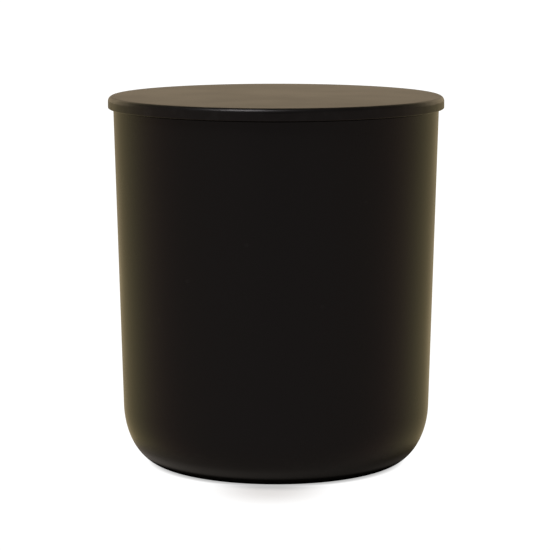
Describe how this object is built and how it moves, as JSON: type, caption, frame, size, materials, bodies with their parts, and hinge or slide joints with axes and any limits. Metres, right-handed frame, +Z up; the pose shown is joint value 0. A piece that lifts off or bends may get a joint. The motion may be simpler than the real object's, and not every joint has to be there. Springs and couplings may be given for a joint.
{
  "type": "candle jar",
  "caption": "Round tumbler-style candle jar in matte black, with a rounded heel and a flat overhanging plug lid with a finned seal.",
  "frame": {"origin": "centre of the base, on the surface that the jar stands on", "axes": "+Z up along the jar's axis, out of its mouth and through the lid; X and Y lie in the standing surface, and the jar is round, so neither is a front"},
  "size_m": [0.0828, 0.0828, 0.0913],
  "materials": {
    "lacquered_glass": "satin",
    "black_powder_coat": "satin",
    "black_moulding": "satin",
    "black_silicone": "matte"
  },
  "bodies": {
    "jar": {"glass_jar": "lacquered_glass"},
    "seal": {"seal_ring": "black_silicone"},
    "lid": {"lid_cap": "black_powder_coat", "lid_inner": "black_moulding"}
  },
  "joints": [
    {"name": "lid_lift", "type": "slide", "parent": "jar", "child": "seal", "axis": [0, 0, 1], "range_m": [0, 0.1]},
    {"name": "lid_turn", "type": "hinge", "parent": "seal", "child": "lid", "pos_m": [0, 0, 0.09], "axis": [0, 0, 1], "continuous": true}
  ]
}
